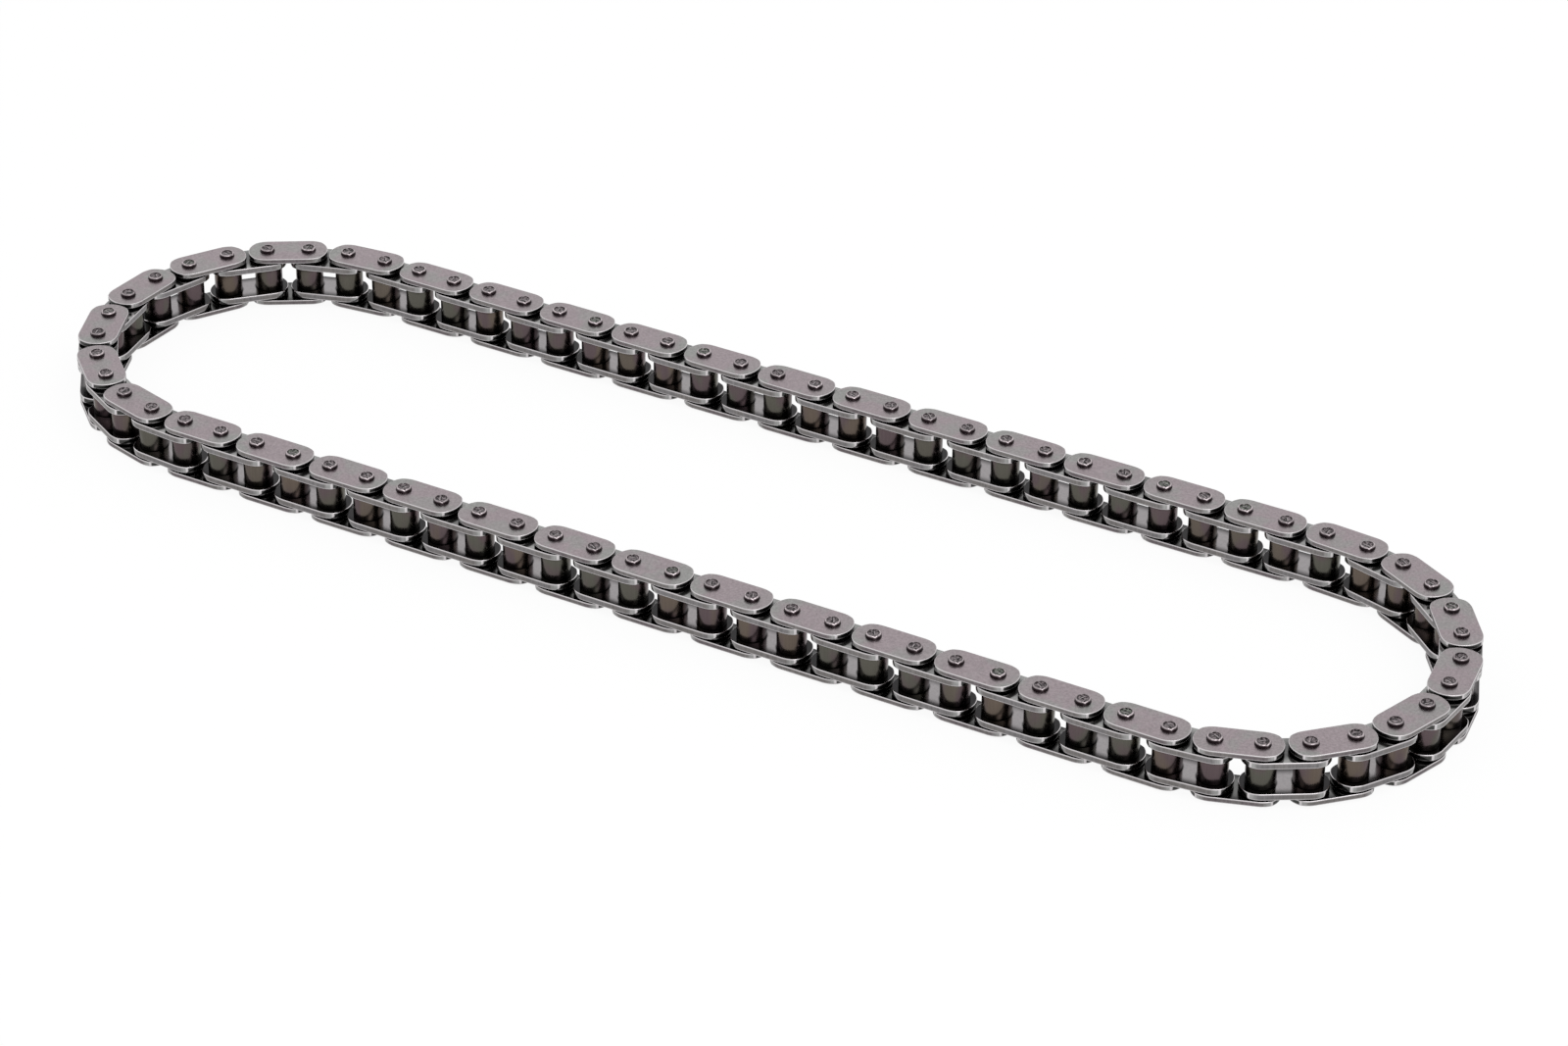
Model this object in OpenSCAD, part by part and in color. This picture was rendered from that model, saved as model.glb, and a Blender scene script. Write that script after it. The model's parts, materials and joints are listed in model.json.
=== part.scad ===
// Endless simplex roller chain for an engine's timing drive, lying on its side.
// The links stand in a long loop: outer and inner links take turns, and every
// pivot is a riveted pin that turns in a bush, with a roller around the bush.
// The origin is the middle of the loop on the surface that the pin ends rest on,
// X runs along the loop, and Z runs along the pins.

/* [Chain] */
// Distance from one pin to the next
pitch = 9.525; // [9:0.005:10.5]
// Width between the two plates of an inner link
inner_width = 5.95; // [5:0.01:6.5]
// Outside diameter of the rollers
roller_d = 6.35; // [6:0.01:6.5]
// Length of a pin from end to end
pin_length = 13.7; // [13.2:0.05:15]
// Diameter of the pins
pin_d = 3.31; // [3:0.01:3.5]
// Outside diameter of the bushes
bush_d = 4.72; // [4.5:0.01:4.9]
// Length of a bush that stands out of each of its two inner plates
bush_stand = 0.4; // [0.05:0.01:0.5]

/* [Plates] */
// Height of every plate across its two straight edges
plate_height = 8.9; // [8.6:0.05:9]
// Thickness of the outer plates
outer_plate_t = 1.15; // [1:0.05:1.3]
// Thickness of the inner plates
inner_plate_t = 1.45; // [1.3:0.05:1.6]
// Reach of a plate's end past its pin
plate_reach = 4.38; // [4.2:0.01:4.4]
// Radius of the arc that closes a plate's end
end_arc_r = 5.1; // [4.8:0.05:5.4]
// Radius of the shoulders between the straight edges and the end arc
shoulder_r = 5.5; // [5.2:0.05:5.8]

/* [Running clearances] */
// Radial clearance of a pin in its bush
pin_clearance = 0.03; // [0.02:0.01:0.05]
// Radial clearance of a roller on its bush
roller_clearance = 0.04; // [0.02:0.01:0.06]
// Room that the bushes have along the pins, between the outer plates
side_play = 0.12; // [0.08:0.01:0.2]
// Room that a roller has between the inner plates
roller_play = 0.08; // [0.05:0.01:0.15]
// Hair gap where two pieces are pressed together or lie on each other
hair = 0.01; // [0.01:0.01:0.02]

/* [Riveted pin ends] */
// Height of the rounded shoulder at a pin's end
rivet_h = 0.35; // [0.2:0.05:0.5]
// Diameter of the narrow rim that the rounded shoulder leaves
rim_d = 2.75; // [2.6:0.05:2.9]
// Diameter of the round dish that the rim stands around
punch_d = 2.3; // [2:0.05:2.4]
// Depth of the dish
punch_depth = 0.15; // [0.05:0.01:0.2]
// Length of the slit that the riveting punch leaves in the dish
slit_length = 1.3; // [0.8:0.1:1.6]
// Angle of the slit from the line of the link
slit_angle = 20; // [-90:5:90]
// Depth of the two staking notches in the rim
notch_depth = 0.25; // [0.2:0.05:0.35]
// Width of a staking notch at the rim
notch_w = 0.7; // [0.5:0.05:0.9]
// Angle of the staking notches from the line of the link
notch_angle = -50; // [-90:5:90]

/* [Loop] */
// Links from the first link to the middle of the first bend
links_to_bend = 19.85; // [19.5:0.01:20.1]
// Links in half of a bend
links_in_half_bend = 7.85; // [7.6:0.05:8.1]
// Links at each end of a bend over which it grows tighter
links_in_ramp = 2.1; // [1.5:0.1:2.6]

/* [Hidden] */
$fn = 72;
// Links in the chain, and pivots after which the loop's shape repeats
links = 78;
half = links / 2;
// Links to each side of a bend's middle that have a node each
links_free_in_bend = 6;

// Heights of the stack, from the surface that the pin ends rest on
bush_length = inner_width + 2 * inner_plate_t + 2 * bush_stand;
stack_h = bush_length + side_play + 2 * outer_plate_t;
pin_stand = (pin_length - stack_h) / 2;
bush_z = pin_stand + outer_plate_t + hair;
inner_z = bush_z + bush_stand;
roller_z = inner_z + inner_plate_t + hair;
upper_inner_z = inner_z + inner_plate_t + inner_width;
upper_outer_z = pin_stand + outer_plate_t + bush_length + side_play;

// Centres of the arcs of a plate's end, from the pin
end_arc_x = plate_reach - end_arc_r;
shoulder_y = plate_height / 2 - shoulder_r;

// Bores of the bushes and rollers
bush_bore_d = pin_d + 2 * pin_clearance;
roller_bore_d = bush_d + 2 * roller_clearance;
roller_length = inner_width - roller_play;
roller_edge = 0.15;
bush_edge = 0.12;
punch_slope = 0.1;
slit_w = 0.16;
slit_depth = 0.08;

// Turn of the loop at each pivot: two bends, half a loop apart, share the full turn
function from_bend(p) = abs((p - links_to_bend + half * 2.5) % half - half / 2);
function bend_share(p) = min(1, max(0, (links_in_half_bend - from_bend(p)) / links_in_ramp));
function total(v, n) = n == 0 ? 0 : v[n - 1] + total(v, n - 1);
shares = [for (p = [0 : half - 1]) bend_share(p)];
full_share = total(shares, half);
function turn(p) = 180 * shares[p % half] / full_share;

// Direction of each link, and place of each pivot with the loop's middle at the origin
headings = [for (p = 0, a = 0; p < links; p = p + 1, a = a + turn(p)) a];
steps = [for (a = headings) pitch * [cos(a), sin(a)]];
walk = [for (p = 0, at = [0, 0]; p < links; at = at + steps[p], p = p + 1) at];
middle = (walk[0] + walk[half]) / 2;
pivots = [for (at = walk) at - middle];

// Two neighbouring links share a node along the straight runs, where the pivot
// between them has an odd number, so that the whole chain stays within 60 nodes.
// In the bends and beside the first link every link has its own.
function shares_node(p) =
    let (r = p % half) r % 2 == 1 && r > 1 && from_bend(p) > links_free_in_bend;
firsts = [for (p = [2 : links - 1]) if (!shares_node(p)) p];
function is_pair(p) = p < links - 1 && shares_node(p + 1);
function is_outer(p) = p % 2 == 0;
function digits(n) = str(n < 10 ? "0" : "", n);
function link_name(p) =
    is_pair(p) ? str("link_pair_", digits(p), "_", digits(p + 1))
    : str(is_outer(p) ? "outer_link_" : "inner_link_", digits(p));

// Puts its children at a link, with the link's first pin on the origin and its line along X
module at_link(p) {
    translate([pivots[p].x, pivots[p].y, 0]) rotate(headings[p]) children();
}

// Puts its children at both pins of a link
module at_both_pins() {
    for (x = [0, pitch]) translate([x, 0, 0]) children();
}

// Half of a plate's outline, from the pin outwards: an end arc between two shoulders
module plate_end() {
    intersection() {
        translate([0, -plate_height / 2]) square([plate_height, plate_height]);
        translate([end_arc_x, 0]) circle(r = end_arc_r);
        translate([0, shoulder_y]) circle(r = shoulder_r);
        translate([0, -shoulder_y]) circle(r = shoulder_r);
    }
}

// A flat link plate with its two pin or bush holes
module link_plate(hole_d, t) {
    difference() {
        linear_extrude(t) {
            translate([0, -plate_height / 2]) square([pitch, plate_height]);
            translate([pitch, 0]) plate_end();
            mirror([1, 0]) plate_end();
        }
        at_both_pins() translate([0, 0, -1]) cylinder(d = hole_d, h = t + 2);
    }
}

// One outer plate, seen as dark, slightly violet steel
module outer_plate(z) {
    color([0.56, 0.53, 0.55]) translate([0, 0, z]) link_plate(pin_d + 2 * hair, outer_plate_t);
}

// One inner plate, in brighter steel
module inner_plate(z) {
    color([0.62, 0.62, 0.62]) translate([0, 0, z]) link_plate(bush_d + 2 * hair, inner_plate_t);
}

// Profile of the upper half of a pin: shank, rounded shoulder, rim and dish
module pin_half_profile() {
    top = pin_length / 2;
    polygon([
        [0, 0], [pin_d / 2, 0], [pin_d / 2, top - rivet_h],
        [(3 * pin_d + 2 * rim_d) / 10, top - rivet_h / 3], [rim_d / 2, top],
        [punch_d / 2, top], [punch_d / 2 - punch_slope, top - punch_depth],
        [0, top - punch_depth]
    ]);
}

// A V-shaped notch that a staking tool leaves across the rim of a pin's end
module staking_notch() {
    reach = pin_d / 2;
    translate([punch_d / 2, 0, pin_length / 2]) rotate([90, 0, 90])
        linear_extrude(reach) polygon([
            [-notch_w / 2, 0.1], [0, -notch_depth], [notch_w / 2, 0.1]
        ]);
}

// The short slit in the middle of the dish
module slit() {
    translate([-slit_length / 2, -slit_w / 2, pin_length / 2 - punch_depth - slit_depth])
        cube([slit_length, slit_w, punch_depth]);
}

// A riveted pin, with the same end at both sides
module pin() {
    color([0.5, 0.47, 0.48]) translate([0, 0, pin_length / 2]) difference() {
        rotate_extrude() {
            pin_half_profile();
            mirror([0, 1]) pin_half_profile();
        }
        for (flip = [0, 180]) rotate([flip, 0, 0]) {
            for (side = [0, 180]) rotate(notch_angle + side) staking_notch();
            rotate(slit_angle) slit();
        }
    }
}

// A round sleeve with broken outer edges
module sleeve(bore_d, d, length, edge) {
    rotate_extrude() polygon([
        [bore_d / 2, 0], [d / 2 - edge, 0], [d / 2, edge],
        [d / 2, length - edge], [d / 2 - edge, length], [bore_d / 2, length]
    ]);
}

// A bush, pressed into both inner plates and standing a little out of them
module bush() {
    color([0.5, 0.5, 0.5]) translate([0, 0, bush_z])
        sleeve(bush_bore_d, bush_d, bush_length, bush_edge);
}

// A roller, which turns freely on its bush and lies on the lower inner plate
module roller() {
    color([0.3, 0.27, 0.24]) translate([0, 0, roller_z])
        sleeve(roller_bore_d, roller_d, roller_length, roller_edge);
}

// An outer link: two plates held on two pins
module outer_link() {
    outer_plate(pin_stand);
    outer_plate(upper_outer_z);
    at_both_pins() pin();
}

// An inner link: two plates held on two bushes, each with its roller
module inner_link() {
    inner_plate(inner_z);
    inner_plate(upper_inner_z);
    at_both_pins() {
        bush();
        roller();
    }
}

// Any link, at its place in the loop
module link(p) {
    at_link(p) {
        if (is_outer(p)) outer_link();
        else inner_link();
    }
}

// The first outer link and the inner link after it have a node for each kind of piece
module outer_plate_upper() at_link(0) outer_plate(upper_outer_z);
module outer_plate_lower() at_link(0) outer_plate(pin_stand);
module pins() at_link(0) at_both_pins() pin();
module inner_plate_upper() at_link(1) inner_plate(upper_inner_z);
module inner_plate_lower() at_link(1) inner_plate(inner_z);
module bushes() at_link(1) at_both_pins() bush();
module roller_first() at_link(1) roller();
module roller_second() at_link(1) translate([pitch, 0, 0]) roller();

outer_plate_upper();
outer_plate_lower();
pins();
inner_plate_upper();
inner_plate_lower();
bushes();
roller_first();
roller_second();
for (p = firsts)
    union() {
        link(p);
        if (is_pair(p)) link(p + 1);
    }
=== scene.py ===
import json
import math
import random

import bmesh
import bpy
from mathutils import Matrix, Vector


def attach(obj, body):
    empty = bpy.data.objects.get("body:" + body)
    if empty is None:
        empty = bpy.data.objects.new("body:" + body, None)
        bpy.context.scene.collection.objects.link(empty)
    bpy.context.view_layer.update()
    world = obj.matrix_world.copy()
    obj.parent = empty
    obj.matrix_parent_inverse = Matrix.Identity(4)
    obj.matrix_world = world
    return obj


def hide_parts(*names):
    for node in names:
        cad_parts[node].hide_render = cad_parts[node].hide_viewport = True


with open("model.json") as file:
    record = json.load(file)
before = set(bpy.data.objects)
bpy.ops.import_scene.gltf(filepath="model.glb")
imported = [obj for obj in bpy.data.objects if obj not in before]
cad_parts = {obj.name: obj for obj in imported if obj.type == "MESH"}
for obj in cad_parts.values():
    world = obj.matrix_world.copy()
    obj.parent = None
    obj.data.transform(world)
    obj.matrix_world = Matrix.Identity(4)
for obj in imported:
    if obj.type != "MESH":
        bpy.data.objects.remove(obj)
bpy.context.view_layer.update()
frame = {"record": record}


# Bushes are thin steel sleeves, curled from strip and hardened. Both ends are pressed
# into the inner plates and stand a little out of them, and the pins turn inside them.
# Only their ends show, as thin rings round the pins in the gap under the outer plates.

MM = 0.001
PITCH = 9.525 * MM
LINKS = 78
HALF_LOOP = LINKS // 2
LINKS_TO_BEND = 19.85
LINKS_IN_HALF_BEND = 7.85
LINKS_IN_RAMP = 2.1

OUTER_THICK = 1.15 * MM
INNER_THICK = 1.45 * MM
INNER_WIDTH = 5.95 * MM
BUSH_STAND = 0.40 * MM
SIDE_PLAY = 0.12 * MM
HAIR = 0.01 * MM
BUSH_LENGTH = INNER_WIDTH + 2 * INNER_THICK + 2 * BUSH_STAND
PIN_LENGTH = 13.7 * MM
PIN_STAND = (PIN_LENGTH - BUSH_LENGTH - SIDE_PLAY - 2 * OUTER_THICK) / 2
BUSH_Z = PIN_STAND + OUTER_THICK + HAIR


def bend_share(pivot):
    """How tightly the loop turns at a pivot, from 0 on the straight runs to 1 in a bend."""
    off = (pivot - LINKS_TO_BEND + HALF_LOOP * 2.5) % HALF_LOOP - HALF_LOOP / 2
    return min(1.0, max(0.0, (LINKS_IN_HALF_BEND - abs(off)) / LINKS_IN_RAMP))


def loop_of_links():
    """Where each link lies: its first pin on the origin and its line along X go there."""
    half_turn = sum(bend_share(pivot) for pivot in range(HALF_LOOP))
    heading, at, walk = 0.0, Vector((0, 0, 0)), []
    for pivot in range(LINKS):
        if pivot:
            heading += math.pi * bend_share(pivot) / half_turn
        walk.append((at.copy(), heading))
        at += Matrix.Rotation(heading, 3, "Z") @ Vector((PITCH, 0, 0))
    middle = (walk[0][0] + walk[HALF_LOOP][0]) / 2
    return [
        Matrix.Translation(start - middle) @ Matrix.Rotation(turn, 4, "Z") for start, turn in walk
    ]


# Even links are outer ones, odd links inner ones. A body's name holds its links' numbers.
OUTER, INNER = 0, 1
LINK_PLACES = loop_of_links()
HOLES = (Matrix.Identity(4), Matrix.Translation((PITCH, 0, 0)))
BODIES = frame["record"]["behaviour"]["bodies"]
LINKS_OF_BODY = {
    body: [int(word) for word in body.split("_") if word.isdigit()] for body in BODIES
}

SAME_POINT = 1e-7


def turned(profile, steps, closed, smooth_to=50):
    """A round piece, turned from the points (radius, height) of its profile, in mm."""
    bm = bmesh.new()
    points = [bm.verts.new((radius * MM, 0, height * MM)) for radius, height in profile]
    edges = [bm.edges.new(pair) for pair in zip(points, points[1:])]
    if closed:
        edges.append(bm.edges.new((points[-1], points[0])))
    bmesh.ops.spin(
        bm, geom=points + edges, cent=(0, 0, 0), axis=(0, 0, 1),
        angle=math.tau, steps=steps, use_merge=True,
    )
    bmesh.ops.remove_doubles(bm, verts=bm.verts, dist=SAME_POINT)
    bmesh.ops.recalc_face_normals(bm, faces=bm.faces)
    for face in bm.faces:
        face.smooth = True
    for edge in bm.edges:
        edge.smooth = edge.calc_face_angle(0) < math.radians(smooth_to)
    return bm


def template(bm, name):
    """Keeps a piece's shape, with its own coordinates in mm as the attribute home."""
    home = bm.verts.layers.float_vector.new("home")
    for vert in bm.verts:
        vert[home] = vert.co / MM
    mesh = bpy.data.meshes.new(name)
    bm.to_mesh(mesh)
    bm.free()
    return mesh


# A fixed seed gives every piece the same tone in each run.
TONES = random.Random(78)


def lay_out(name, shape, places, finish, body, nodes):
    """One object of like pieces on one body, each with a tone of its own."""
    bm = bmesh.new()
    bm.verts.layers.float.new("tone")
    for place in places:
        before = len(bm.verts)
        bm.from_mesh(shape)
        bm.verts.ensure_lookup_table()
        tone = bm.verts.layers.float["tone"]
        fresh = bm.verts[before:]
        shade = TONES.uniform(-1, 1)
        for vert in fresh:
            vert[tone] = shade
        bmesh.ops.transform(bm, matrix=place, verts=fresh)
    mesh = bpy.data.meshes.new(name)
    bm.to_mesh(mesh)
    bm.free()
    mesh.materials.append(finish.material)
    piece = bpy.data.objects.new(name, mesh)
    bpy.context.scene.collection.objects.link(piece)
    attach(piece, body)
    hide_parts(*nodes)


class Flow:
    """The output of a node, which Python's operators carry on through Math nodes."""

    def __init__(self, finish, output):
        self.finish, self.output = finish, output

    def maths(self, operation, *values):
        return self.finish.add(
            "ShaderNodeMath", {"operation": operation}, dict(enumerate(values))
        )

    def __add__(self, other):
        return self.maths("ADD", self, other)

    def __sub__(self, other):
        return self.maths("SUBTRACT", self, other)

    def __rsub__(self, other):
        return self.maths("SUBTRACT", other, self)

    def __mul__(self, other):
        return self.maths("MULTIPLY", self, other)

    def __pow__(self, other):
        return self.maths("POWER", self, other)

    def __abs__(self):
        return self.maths("ABSOLUTE", self)

    __radd__, __rmul__ = __add__, __mul__

    def ramp(self, low, high):
        """0 below low, 1 above high and a smooth step between them."""
        return self.finish.add(
            "ShaderNodeMapRange",
            {"interpolation_type": "SMOOTHSTEP"},
            {"Value": self, "From Min": low, "From Max": high},
        )


SHIFT_MM = 40.0


class Finish:
    """A steel finish: a metallic shader and the patterns that feed it."""

    def __init__(self, name):
        self.material = bpy.data.materials.new(name)
        self.material.use_nodes = True
        self.tree = self.material.node_tree
        self.steel = self.tree.nodes["Principled BSDF"]
        self.steel.inputs["Metallic"].default_value = 1.0

    def add(self, kind, settings=None, values=None, take=0):
        """Adds a node, sets it up, then fills its sockets with values or links."""
        node = self.tree.nodes.new(kind)
        for key, value in (settings or {}).items():
            setattr(node, key, value)
        for key, value in (values or {}).items():
            self.fill(node.inputs[key], value)
        return Flow(self, node.outputs[take])

    def fill(self, socket, value):
        """Links a socket to a Flow, or sets it to a number or a colour."""
        if isinstance(value, Flow):
            self.tree.links.new(value.output, socket)
        else:
            socket.default_value = (*value, 1) if socket.type == "RGBA" else value

    def shader(self, **values):
        """Fills the steel's own sockets, named with _ where the socket has a space."""
        for key, value in values.items():
            self.fill(self.steel.inputs[key.replace("_", " ")], value)

    def home(self):
        """The piece's own coordinates in mm."""
        return self.add("ShaderNodeAttribute", {"attribute_name": "home"}, take="Vector")

    def tone(self):
        """The piece's own tone, from -1 to 1."""
        return self.add("ShaderNodeAttribute", {"attribute_name": "tone"}, take="Fac")

    def part(self, vector, axis):
        """One of a vector's three numbers."""
        return self.add("ShaderNodeSeparateXYZ", None, {0: vector}, axis)

    def shifted(self, stretch=(1, 1, 1)):
        """The same coordinates, moved by the tone so that no two pieces look alike."""
        far = self.tone() * SHIFT_MM
        apart = self.add("ShaderNodeCombineXYZ", None, {"X": far, "Y": far * 0.7, "Z": far * 0.3})
        moved = self.add(
            "ShaderNodeVectorMath", {"operation": "ADD"}, {0: self.home(), 1: apart}
        )
        return self.add(
            "ShaderNodeVectorMath", {"operation": "MULTIPLY"}, {0: moved, 1: stretch}
        )

    def noise(self, at, per_mm, detail=3.0, rough=0.5):
        """A cloudy pattern round 0.5."""
        return self.add(
            "ShaderNodeTexNoise",
            None,
            {"Vector": at, "Scale": per_mm, "Detail": detail, "Roughness": rough},
        )

    def mix(self, share, first, second):
        """Two colours, mixed by a share."""
        return self.add(
            "ShaderNodeMix", {"data_type": "RGBA"}, {0: share, 6: first, 7: second}, take=2
        )

    def lit(self, colour, strength):
        """A colour made lighter or darker by a number."""
        return self.add(
            "ShaderNodeVectorMath", {"operation": "SCALE"}, {0: colour, "Scale": strength}
        )

    def facing(self):
        """How far a face looks up or down, from 0 on a side to 1 on a flat."""
        normal = self.add("ShaderNodeTexCoord", None, None, "Normal")
        return abs(self.part(normal, "Z"))

    def dents(self, height, depth_mm):
        """Fine bumps in the surface."""
        self.shader(
            Normal=self.add(
                "ShaderNodeBump",
                None,
                {"Height": height, "Strength": 1.0, "Distance": depth_mm * MM},
            )
        )


# From here on a piece's own sizes are in mm, and its place in the chain is in metres.
BUSH_R = 2.36
BUSH_BORE_R = 1.685
BUSH_BEVEL = 0.12
BUSH_TOP = BUSH_LENGTH / MM
bush_shape = template(
    turned(
        [
            (BUSH_BORE_R, 0),
            (BUSH_R - BUSH_BEVEL, 0),
            (BUSH_R, BUSH_BEVEL),
            (BUSH_R, BUSH_TOP - BUSH_BEVEL),
            (BUSH_R - BUSH_BEVEL, BUSH_TOP),
            (BUSH_BORE_R, BUSH_TOP),
        ],
        steps=36,
        closed=True,
    ),
    "bush",
)

BUSH_DARK = (0.20, 0.19, 0.18)
BUSH_LIGHT = (0.34, 0.33, 0.33)
bush_steel = Finish("bush_steel")
lines = bush_steel.noise(bush_steel.shifted(stretch=(1, 1, 0.1)), per_mm=4.0)
grain = bush_steel.noise(bush_steel.shifted(), per_mm=7.0)
bush_steel.shader(
    Base_Color=bush_steel.lit(
        bush_steel.mix(lines, BUSH_DARK, BUSH_LIGHT), 0.85 + 0.3 * grain
    ),
    Roughness=0.22 + 0.2 * grain,
)
bush_steel.dents(lines, depth_mm=0.01)

# The first outer and the first inner link have a node for each kind of piece. Every
# other body's nodes hold all of its pieces.
NODES_OF_KIND = {
    ("outer_link_00", "pins"): ["pins"],
    ("inner_link_01", "bushes"): ["bushes"],
}


def lay_along(kind, shape, up, finish, pick, without=None):
    """Lays a piece at both holes of every outer or inner link, one object for a body."""
    for body, links in LINKS_OF_BODY.items():
        own = [link for link in links if link % 2 == pick and link != without]
        if not own:
            continue
        name = kind + "_" + "_".join(f"{link:02d}" for link in own)
        places = [LINK_PLACES[link] @ hole @ up for link in own for hole in HOLES]
        nodes = NODES_OF_KIND.get((body, kind), BODIES[body])
        lay_out(name, shape, places, finish, body, nodes)


BUSH_UP = Matrix.Translation((0, 0, BUSH_Z))
lay_along("bushes", bush_shape, BUSH_UP, bush_steel, INNER)


# Rollers are hardened steel barrels that turn freely on the bushes between the inner
# plates. Tempering left them dark bronze, each with its own tint from olive to violet.
# Their edges are broken, and the skin has fine turning and rolling lines.

ROLLER_R = 3.175
ROLLER_BORE_R = 2.40
ROLLER_PLAY = 0.08
ROLLER_LENGTH = INNER_WIDTH / MM - ROLLER_PLAY
ROLLER_EDGE = 0.15
ROLLER_ROUND = 0.05
roller_shape = template(
    turned(
        [
            (ROLLER_BORE_R, 0),
            (ROLLER_R - ROLLER_EDGE, 0),
            (ROLLER_R - ROLLER_ROUND, ROLLER_ROUND),
            (ROLLER_R, ROLLER_EDGE),
            (ROLLER_R, ROLLER_LENGTH - ROLLER_EDGE),
            (ROLLER_R - ROLLER_ROUND, ROLLER_LENGTH - ROLLER_ROUND),
            (ROLLER_R - ROLLER_EDGE, ROLLER_LENGTH),
            (ROLLER_BORE_R, ROLLER_LENGTH),
        ],
        steps=48,
        closed=True,
    ),
    "roller",
)

BRONZE = (0.136, 0.108, 0.088)
OLIVE = (0.107, 0.104, 0.087)
VIOLET = (0.118, 0.088, 0.094)
# The rollers are painted darker towards both ends: painted shade where they stand on the inner
# plates.
SHADE_FROM_END = 1.3
DARK_FROM_END = 0.3
roller_steel = Finish("roller_steel")
streaks = roller_steel.noise(
    roller_steel.shifted(stretch=(1, 1, 0.02)), per_mm=5.0, detail=4.0, rough=0.6
)
tint = roller_steel.noise(roller_steel.shifted(stretch=(1, 1, 0.4)), per_mm=0.22, detail=1.0)
middle = ROLLER_LENGTH / 2
from_middle = abs(roller_steel.part(roller_steel.home(), "Z") - middle)
painted_foot_shade = from_middle.ramp(middle - SHADE_FROM_END, middle - DARK_FROM_END)
tempered = roller_steel.mix(roller_steel.tone().ramp(-0.5, 0.5), BRONZE, OLIVE)
tempered = roller_steel.mix(tint.ramp(0.42, 0.60), tempered, VIOLET)
roller_steel.shader(
    Base_Color=roller_steel.lit(tempered, (0.70 + 0.40 * streaks) * (1 - 0.35 * painted_foot_shade)),
    Roughness=0.14 + 0.18 * streaks,
)
roller_steel.dents(streaks, depth_mm=0.003)

# The two rollers of one inner link spin on bodies of their own.
SPINNING_LINK = 1
INNER_Z = BUSH_Z + BUSH_STAND
ROLLER_UP = Matrix.Translation((0, 0, INNER_Z + INNER_THICK + HAIR))
for body, hole in zip(("roller_first", "roller_second"), HOLES):
    lay_out(
        "spinning_" + body, roller_shape, [LINK_PLACES[SPINNING_LINK] @ hole @ ROLLER_UP],
        roller_steel, body, [body],
    )
lay_along(
    "rollers", roller_shape, ROLLER_UP, roller_steel, INNER, without=SPINNING_LINK
)


# Inner plates are stamped from strip, pierced for the bushes and tumbled, so their
# edges are softly rounded. The flats that face the rollers are polished, with painted
# shade round the rollers. The others have a dark skin, darker still along the middle and
# towards the ends and lighter towards the long edges: painted shade where the outer
# plates close over them. The sheared sides are silver with a faint warm tint.

PLATE_HEIGHT = 8.89
PLATE_REACH = 4.38
END_ARC_R = 5.1
SHOULDER_R = 5.5
PLATE_EDGE = 0.12
BORE_EDGE = 0.07
NEAR_BORE = 0.1
HALF_PITCH = PITCH / MM / 2
PLATE_STEPS = 48

# A distance in metres, an angle in radians and one in degrees.
SAME_CORNER = 1e-6
SHARP_ANGLE = 1
PLATE_SMOOTH_TO = 14


def reach_of(way):
    """From a hole in a direction, the point on the plate's edge or its middle line."""
    # The sides are straight towards the middle line, and the end is made of arcs.
    if way.x > 1e-6:
        far = way * PLATE_HEIGHT
        half = PLATE_HEIGHT / 2
        return Vector((min(far.x, HALF_PITCH), max(-half, min(half, far.y)), 0))
    arcs = [
        (Vector((END_ARC_R - PLATE_REACH, 0, 0)), END_ARC_R),
        (Vector((0, SHOULDER_R - PLATE_HEIGHT / 2, 0)), SHOULDER_R),
        (Vector((0, PLATE_HEIGHT / 2 - SHOULDER_R, 0)), SHOULDER_R),
    ]
    return way * min(
        way.dot(centre)
        + math.sqrt(way.dot(centre) ** 2 + radius * radius - centre.length_squared)
        for centre, radius in arcs
    )


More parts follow.
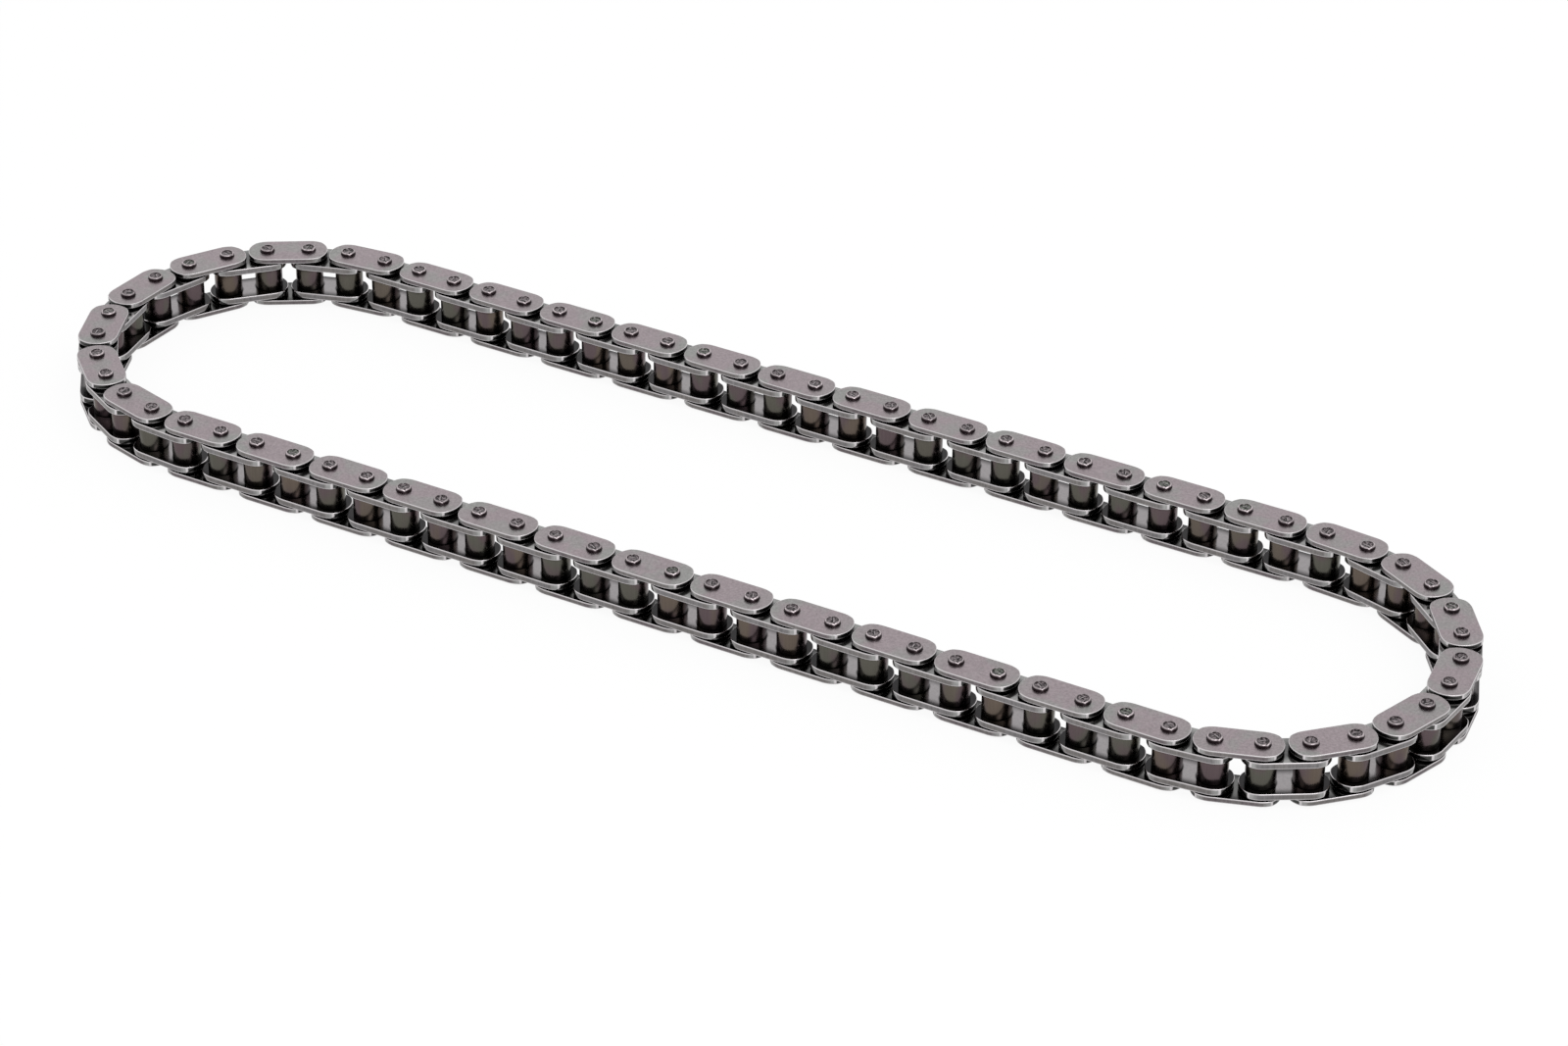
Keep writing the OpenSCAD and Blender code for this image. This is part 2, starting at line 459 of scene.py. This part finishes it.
def stamped_plate(hole_r, thick, name):
    """A plate from two mirrored halves, each a ring of faces around its hole."""
    bm = bmesh.new()
    bmesh.ops.create_circle(bm, segments=PLATE_STEPS, radius=hole_r * MM)
    outline = bmesh.ops.create_circle(bm, segments=PLATE_STEPS, radius=MM)["verts"]
    for vert in outline:
        vert.co = reach_of(vert.co.normalized()) * MM
    bmesh.ops.bridge_loops(bm, edges=bm.edges[:])
    half = Matrix.Translation((-PITCH / 2, 0, 0))
    bmesh.ops.transform(bm, matrix=half, verts=bm.verts)
    bmesh.ops.mirror(
        bm, geom=bm.verts[:] + bm.edges[:] + bm.faces[:], axis="X", merge_dist=SAME_CORNER
    )
    bmesh.ops.remove_doubles(bm, verts=bm.verts, dist=SAME_CORNER)
    bmesh.ops.transform(bm, matrix=half.inverted(), verts=bm.verts)
    raised = bmesh.ops.extrude_face_region(bm, geom=bm.faces[:], use_keep_orig=True)["geom"]
    top = [item for item in raised if isinstance(item, bmesh.types.BMVert)]
    bmesh.ops.translate(bm, vec=(0, 0, thick), verts=top)
    bmesh.ops.recalc_face_normals(bm, faces=bm.faces)
    holes = [Vector((0, 0, 0)), Vector((PITCH, 0, 0))]

    def rim(near_hole):
        """Sharp edges round the flats: at the holes, or round the outline."""
        found = []
        for edge in bm.edges:
            if edge.calc_face_angle(0) < SHARP_ANGLE:
                continue
            if (edge.verts[0].co - edge.verts[1].co).z:
                continue
            mid = (edge.verts[0].co + edge.verts[1].co) / 2
            off = min((mid - hole).xy.length for hole in holes)
            if (off < (hole_r + NEAR_BORE) * MM) == near_hole:
                found.append(edge)
        return found

    for near_hole, wide, segments in ((True, BORE_EDGE, 1), (False, PLATE_EDGE, 2)):
        bmesh.ops.bevel(
            bm, geom=rim(near_hole), offset=wide * MM, offset_type="OFFSET",
            segments=segments, profile=0.5, affect="EDGES", material=-1,
        )
    # The flats stay flat, the rounded edges run smoothly, and so do the arcs of the sides.
    for face in bm.faces:
        face.smooth = abs(face.normal.z) < 0.999
    for edge in bm.edges:
        faces = edge.link_faces
        if len(faces) == 2 and all(abs(face.normal.z) < 0.01 for face in faces):
            edge.smooth = edge.calc_face_angle(0) < math.radians(PLATE_SMOOTH_TO)
    return template(bm, name)


ROLLER_SHADE = (0.025, 0.024, 0.025)
SHEAR_WARM = (0.20, 0.187, 0.183)
SHEAR_CORNER_HIGHLIGHT = (0.37, 0.37, 0.365)
SHEAR_END_SHADE = (0.06, 0.06, 0.058)
WORN_AND_HIGHLIGHT_EDGE = (0.62, 0.592, 0.602)
POLISHED = 0.08

# Each pair says where a tone starts and stops changing, in mm from the plate's middle, or
# from a hole for the roller's foot. LEVEL says how far a face looks up or down.
# On the inner plates, TOWARDS_END and TOWARDS_SIDE also bound painted shade round the outer
# plates.
TOWARDS_END = (3.0, 8.0)
TOWARDS_SIDE = (1.5, 3.9)
# ROLLER_FOOT, GAP_END and GAP_SIDE bound the painted shade on the flats that face the rollers.
ROLLER_FOOT = (3.1, 3.6)
GAP_END = (2.4, 3.8)
GAP_SIDE = (2.0, 4.4)
# TOWARDS_CORNER and PAST_CREASE bound the sheared side's painted highlight and painted shade.
TOWARDS_CORNER = (5.6, 7.3)
CREASE_AT = 7.58
PAST_CREASE = (CREASE_AT, CREASE_AT + 0.3)
LEVEL = (0.90, 0.985)


def plate_finish(name, thick_mm, middle, outward, at_ends, inward, sides, gloss):
    """Tumbled steel: mottled flats, mirrors to the rollers, sheared sides, bright edges, painted
    shade and highlights.
    """
    steel = Finish(name)
    up = steel.facing()
    level = up.ramp(*LEVEL)
    at = steel.shifted()
    home = steel.home()
    along = abs(steel.part(home, "X") - HALF_PITCH)
    across = abs(steel.part(home, "Y"))
    depth = steel.part(home, "Z")
    grain = steel.noise(at, per_mm=1.7, detail=5.0, rough=0.62)
    specks = steel.noise(at, per_mm=6.0, detail=2.0, rough=0.7)
    patches = steel.noise(at, per_mm=0.15, detail=2.0)

    # The flat that faces away from the rollers is mottled, with patches near the ends. On the
    # inner plates its colours also paint shade: darker along the middle and towards the ends,
    # where the outer plates close over it, and lighter towards the long edges.
    end = along.ramp(*TOWARDS_END) * 0.35 + patches.ramp(0.49, 0.64) * 0.65
    outside = steel.mix(across.ramp(*TOWARDS_SIDE), middle, outward)
    outside = steel.lit(steel.mix(end, outside, at_ends), 0.22 + 0.95 * grain + 0.61 * specks)

    # The flat that faces the rollers is painted dark round their feet, towards the holes and
    # towards its long edges, painted shade, and keeps its own lighter colour in a strip between
    # them.
    around = ((along - HALF_PITCH) ** 2 + across**2) ** 0.5
    between = around.ramp(*ROLLER_FOOT) * (1 - along.ramp(*GAP_END))
    between = between * (1 - 0.85 * across.ramp(*GAP_SIDE))
    inside = steel.lit(steel.mix(between, ROLLER_SHADE, inward), 0.75 + 0.50 * grain)
    out = (depth * (1 / thick_mm)).ramp(0.2, 0.8)
    flat = steel.mix(out, inside, outside)

    # The sheared side has a painted highlight towards the corner of the end arc and painted shade
    # past it.
    shear = steel.noise(steel.shifted(stretch=(1, 1, 0.15)), per_mm=2.2, detail=4.0, rough=0.6)
    sheared = steel.mix(patches.ramp(0.42, 0.6), sides, SHEAR_WARM)
    sheared = steel.mix(along.ramp(*TOWARDS_CORNER), sheared, SHEAR_CORNER_HIGHLIGHT)
    sheared = steel.mix(along.ramp(*PAST_CREASE), sheared, SHEAR_END_SHADE)
    sheared = steel.lit(sheared, 0.45 + 0.90 * shear)

    # The rims, the crease at the corner and the edges of the side are painted bright: partly
    # tumbling wear, partly painted highlight.
    crease = (abs(along - CREASE_AT) * -1).ramp(-0.28, -0.12)
    burr_and_highlight = (abs(depth - thick_mm / 2) - thick_mm / 2).ramp(-0.24, -0.10)
    rim = up.ramp(0.10, 0.30) * (1 - level)
    bright = 1 - (1 - rim) * (1 - crease) * (1 - burr_and_highlight * 0.70)

    polished = (up * (1 - out)).ramp(0.5, 0.9) * (POLISHED - gloss)
    steel.shader(
        Base_Color=steel.mix(level, steel.mix(bright, sheared, WORN_AND_HIGHLIGHT_EDGE), flat),
        Roughness=gloss + polished + 0.14 * grain,
    )
    steel.dents(grain * 0.6 + specks * 0.4, depth_mm=0.006)
    return steel


inner_plate_shape = stamped_plate(BUSH_R + HAIR / MM, INNER_THICK, "inner_plate")
inner_plate_steel = plate_finish(
    "inner_plate_steel",
    INNER_THICK / MM,
    # The dark middle and ends against the light outward colour are painted shade where the outer
    # plates close over the inner plate.
    middle=(0.12, 0.12, 0.12),
    outward=(0.30, 0.30, 0.295),
    at_ends=(0.10, 0.10, 0.10),
    inward=(0.31, 0.293, 0.299),
    sides=(0.208, 0.199, 0.203),
    gloss=0.02,
)


def lay_plates(kind, node, shape, finish, lower, upper, pick):
    """Lays a lower and an upper plate in every outer or inner link, each its own object."""
    for body, links in LINKS_OF_BODY.items():
        for link in links:
            if link % 2 != pick:
                continue
            for side, up in (("lower", lower), ("upper", upper)):
                nodes = [f"{node}_{side}"] if link in (0, 1) else BODIES[body]
                lay_out(
                    f"{kind}_{link:02d}_{side}", shape, [LINK_PLACES[link] @ up],
                    finish, body, nodes,
                )


TURNED_OVER = Matrix.Translation((PITCH, 0, 0)) @ Matrix.Rotation(math.pi, 4, "Y")
LOWER_INNER = Matrix.Translation((0, 0, INNER_Z + INNER_THICK)) @ TURNED_OVER
UPPER_INNER = Matrix.Translation((0, 0, INNER_Z + INNER_THICK + INNER_WIDTH))
lay_plates(
    "inner_plate", "inner_plate", inner_plate_shape, inner_plate_steel,
    LOWER_INNER, UPPER_INNER, INNER,
)


# Pins are hardened steel, pressed into the outer plates. Each end is upset to a
# rounded shoulder, with a thin bright crest round a scarred dish that has a short slit.
# Two staking notches in the crest lock it, and the walls are violet-black.

PIN_R = 1.655
CREST_R = 1.42
DISH_R = 1.16
PIN_TOP = PIN_LENGTH / MM / 2
pin_end = [
    (PIN_R, PIN_TOP - 0.42),
    (PIN_R - 0.03, PIN_TOP - 0.26),
    (PIN_R - 0.11, PIN_TOP - 0.13),
    (CREST_R + 0.02, PIN_TOP - 0.03),
    (CREST_R - 0.12, PIN_TOP),
    (DISH_R, PIN_TOP - 0.04),
    (DISH_R - 0.08, PIN_TOP - 0.15),
    (0.75, PIN_TOP - 0.17),
    (0.35, PIN_TOP - 0.13),
    (0, PIN_TOP - 0.12),
]
other_end = [(radius, -height) for radius, height in reversed(pin_end)]
pin_bm = turned(other_end + pin_end, steps=36, closed=False, smooth_to=65)

# The notches' turn and half width are in degrees, their depth and reach in mm.
NOTCH_TURN = -50
NOTCH_HALF = 13
NOTCH_DEPTH = 0.24
NOTCH_REACH = 0.40
for vert in pin_bm.verts:
    side = math.copysign(1, vert.co.z)
    place = Matrix.Rotation(math.radians(-NOTCH_TURN * side), 3, "Z") @ (vert.co / MM)
    off = math.degrees(math.atan2(abs(place.y), abs(place.x)))
    on_crest = place.xy.length > DISH_R - 0.01 and abs(place.z) > PIN_TOP - NOTCH_REACH
    if on_crest and off < NOTCH_HALF:
        vert.co.z -= side * NOTCH_DEPTH * MM * (1 - off / NOTCH_HALF)
pin_shape = template(pin_bm, "pin")

WALL_DARK = (0.016, 0.010, 0.012)
WALL_LIGHT = (0.050, 0.036, 0.040)
DISH_MAUVE = (0.185, 0.157, 0.166)
DISH_GREEN = (0.158, 0.168, 0.148)
LIP_BRIGHT = (0.45, 0.41, 0.42)
CREST_BRIGHT = (0.39, 0.345, 0.357)
MOST_TURN = 3.1

# Marks on the heads, in mm. Each pair says where a mark starts and stops fading.
SLIT_END = (0.58, 0.80)
SLIT_SIDE = (0.06, 0.15)
LIP_AWAY = 0.27
LIP_SIDE = (0.05, 0.14)
DISH_EDGE = (DISH_R - 0.04, DISH_R + 0.06)
GROOVE_R = DISH_R - 0.06
GROOVE_SIDE = (0.03, 0.10)
WORN_R = CREST_R + 0.02
WORN_SIDE = (0.05, 0.22)

pin_steel = Finish("pin_steel")
up = pin_steel.facing()
grain = pin_steel.noise(pin_steel.shifted(), per_mm=3.0, detail=3.0)
marks = pin_steel.noise(pin_steel.shifted(), per_mm=2.2, detail=1.0)
turned_at = pin_steel.add(
    "ShaderNodeVectorRotate",
    {"rotation_type": "Z_AXIS"},
    {"Vector": pin_steel.home(), "Angle": pin_steel.tone() * MOST_TURN},
)
along = pin_steel.part(turned_at, "X")
across = pin_steel.part(turned_at, "Y")
radius = (along * along + across * across) ** 0.5
# The slit and the groove at the dish's edge are painted dark, painted shade in these hollows, and
# one side of the slit carries a painted highlight.
near_slit = 1 - abs(along).ramp(*SLIT_END)
slit = near_slit * (1 - abs(across).ramp(*SLIT_SIDE))
slit_highlight = near_slit * (1 - abs(across - LIP_AWAY).ramp(*LIP_SIDE))
dish = 1 - radius.ramp(*DISH_EDGE)
groove = 1 - abs(radius - GROOVE_R).ramp(*GROOVE_SIDE)
crest = (1 - abs(radius - WORN_R).ramp(*WORN_SIDE)) * up.ramp(0.15, 0.6)
wall = pin_steel.mix(grain, WALL_DARK, WALL_LIGHT)
floor = pin_steel.mix(pin_steel.tone().ramp(0.55, 0.9), DISH_MAUVE, DISH_GREEN)
scarred = (0.30 + 1.0 * grain) * (0.15 + 1.35 * marks.ramp(0.40, 0.60))
floor = pin_steel.lit(floor, scarred * (1 - 0.50 * groove) * (1 - 0.95 * slit))
floor = pin_steel.mix(slit_highlight * 0.7, floor, LIP_BRIGHT)
worn = 0.35 + 1.0 * grain + 0.7 * pin_steel.tone().ramp(-0.8, 0.3) * marks.ramp(0.35, 0.6)
skin = pin_steel.mix(crest, wall, pin_steel.lit(CREST_BRIGHT, worn))
pin_steel.shader(
    Base_Color=pin_steel.mix(dish * up.ramp(0.1, 0.3), skin, floor),
    Roughness=0.16 + 0.18 * grain,
)
pin_steel.dents(grain - slit, depth_mm=0.02)

PIN_UP = Matrix.Translation((0, 0, PIN_LENGTH / 2))
lay_along("pins", pin_shape, PIN_UP, pin_steel, OUTER)


# Outer plates are stamped, pierced and tumbled like the inner ones, but thinner, and
# close the chain on both sides. Their flats are mauve-grey with neutral patches, and
# polished where they face the rollers. The edges are painted bright, partly wear and
# partly painted highlight, and the sides are silver.

OUTER_MAUVE = (0.320, 0.271, 0.288)
outer_plate_shape = stamped_plate(PIN_R + HAIR / MM, OUTER_THICK, "outer_plate")
outer_plate_steel = plate_finish(
    "outer_plate_steel",
    OUTER_THICK / MM,
    middle=OUTER_MAUVE,
    outward=OUTER_MAUVE,
    at_ends=(0.292, 0.292, 0.284),
    # The outer plate's dark inward flat is partly dark oil and partly painted shade in its narrow
    # gap to the inner plate.
    inward=(0.15, 0.15, 0.147),
    sides=(0.165, 0.143, 0.151),
    gloss=0.24,
)
OUTER_TOP_Z = PIN_STAND + OUTER_THICK + BUSH_LENGTH + SIDE_PLAY
LOWER_OUTER = Matrix.Translation((0, 0, PIN_STAND + OUTER_THICK)) @ TURNED_OVER
UPPER_OUTER = Matrix.Translation((0, 0, OUTER_TOP_Z))
lay_plates(
    "plate_outer", "outer_plate", outer_plate_shape, outer_plate_steel,
    LOWER_OUTER, UPPER_OUTER, OUTER,
)


# The table under the chain is plain and white, and the light is soft. A camera and a
# mirror see the table nearly white, and it keeps a part of the chain's soft shadow.

TABLE_HALF = 6.0
bm = bmesh.new()
bmesh.ops.create_grid(bm, x_segments=1, y_segments=1, size=TABLE_HALF)
table_mesh = bpy.data.meshes.new("table")
bm.to_mesh(table_mesh)
bm.free()
table = bpy.data.objects.new("table", table_mesh)
bpy.context.scene.collection.objects.link(table)

TABLE_PAINT = (0.92, 0.92, 0.92)
WHITE = (1, 1, 1)
WHITE_SEEN = 0.93
WHITE_MIRRORED = 0.55
white = Finish("table_white")
matt = white.add("ShaderNodeBsdfDiffuse", None, {"Color": TABLE_PAINT, "Roughness": 0.0})
glow = white.add("ShaderNodeEmission", None, {"Color": WHITE, "Strength": 1.0})
seen = white.add("ShaderNodeLightPath", None, None, "Is Camera Ray")
mirrored = white.add("ShaderNodeLightPath", None, None, "Is Glossy Ray")
surface = white.add(
    "ShaderNodeMixShader",
    None,
    {0: WHITE_SEEN * seen + WHITE_MIRRORED * mirrored, 1: matt, 2: glow},
)
material_output = white.tree.nodes["Material Output"]
white.tree.links.new(surface.output, material_output.inputs["Surface"])
white.tree.nodes.remove(white.steel)
table_mesh.materials.append(white.material)

scene = bpy.context.scene
scene.view_settings.view_transform = "Standard"
world = bpy.data.worlds.new("studio")
scene.world = world
world.use_nodes = True
sky = world.node_tree.nodes["Background"]
sky.inputs["Color"].default_value = (*WHITE, 1)
sky.inputs["Strength"].default_value = 1.0

LAMP_TURN = 60
LAMP_TILT = 35
LAMP_AWAY = 1.4
lamp = bpy.data.lights.new("softbox", "AREA")
lamp.shape = "RECTANGLE"
lamp.size = 0.9
lamp.size_y = 0.6
lamp.energy = 4.0
softbox = bpy.data.objects.new("softbox", lamp)
softbox.matrix_world = (
    Matrix.Rotation(math.radians(LAMP_TURN), 4, "Z")
    @ Matrix.Rotation(math.radians(LAMP_TILT), 4, "X")
    @ Matrix.Translation((0, 0, LAMP_AWAY))
)
scene.collection.objects.link(softbox)


# The camera has a long lens, as in the photograph, and looks from the front right
# and above.

CAMERA_AT = (0.437163, -0.763905, 0.543645)
CAMERA_TURN = 29.2457
CAMERA_DIP = 31.6459
CAMERA_ROLL = 0.4901
view = bpy.data.cameras.new("camera")
view.sensor_width = 36.0
view.lens = 109.796
view.clip_start = 0.05
view.clip_end = 20.0
camera = bpy.data.objects.new("camera", view)
camera.matrix_world = (
    Matrix.Translation(CAMERA_AT)
    @ Matrix.Rotation(math.radians(CAMERA_TURN), 4, "Z")
    @ Matrix.Rotation(math.radians(90 - CAMERA_DIP), 4, "X")
    @ Matrix.Rotation(math.radians(CAMERA_ROLL), 4, "Z")
)
scene.collection.objects.link(camera)
scene.camera = camera
